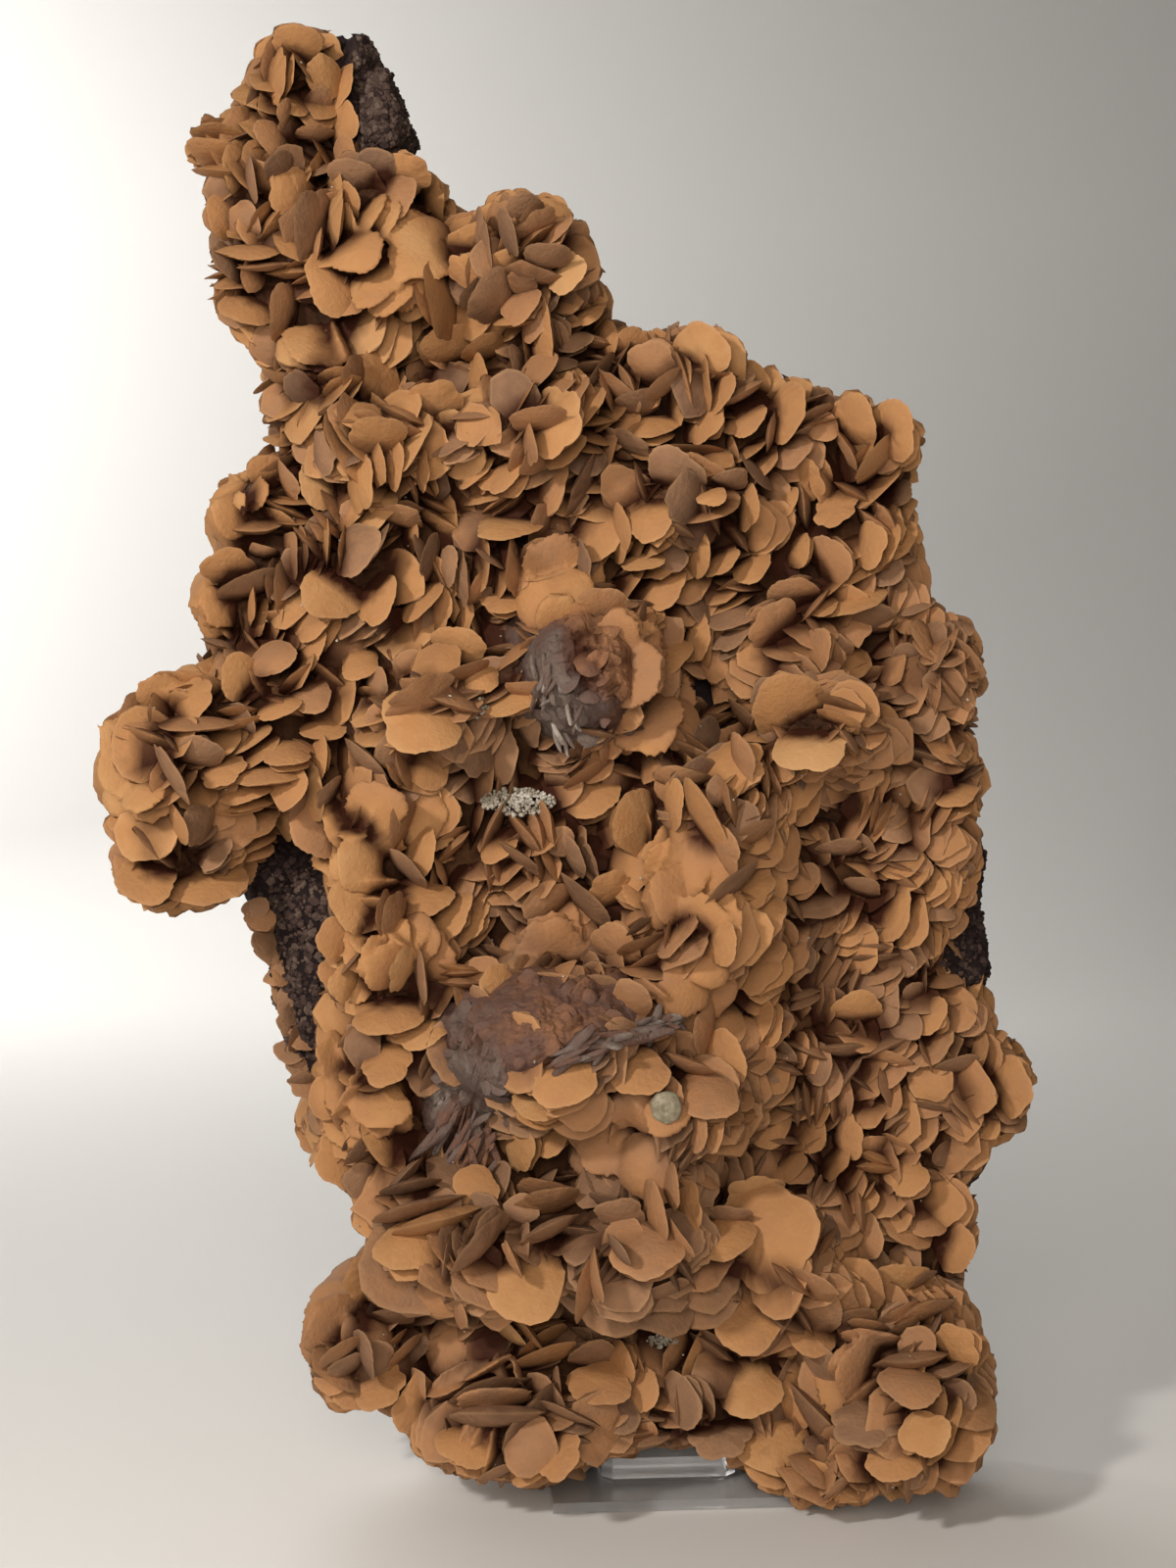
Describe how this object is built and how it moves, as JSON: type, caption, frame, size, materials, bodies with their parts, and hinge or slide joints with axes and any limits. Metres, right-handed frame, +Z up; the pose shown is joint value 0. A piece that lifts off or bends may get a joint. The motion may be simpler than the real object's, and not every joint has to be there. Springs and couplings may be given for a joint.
{
  "type": "siderite crystal specimen on a display stand",
  "caption": "Tall irregular plate of rock crusted with lens-shaped brown siderite crystals, standing upright on a small clear display stand with a ledge and a leaning back rest.",
  "frame": {"origin": "centre of the flat underside of the display stand's base", "axes": "+Z up along the height of the specimen, +Y from the crystal face towards the back of the stand, +X to the right as the crystal face is looked at"},
  "size_m": [0.2164, 0.1239, 0.3427],
  "materials": {
    "siderite_crystal": "dull tan to ochre-brown crystal faces with paler rims, unpolished",
    "matrix_rock": "dark gravelly iron-stained rock with broken faces",
    "clear_acrylic": "clear polished sheet"
  },
  "bodies": {
    "root": {"crystal_crust": "siderite_crystal", "matrix_rock": "matrix_rock", "display_stand": "clear_acrylic"}
  },
  "joints": []
}
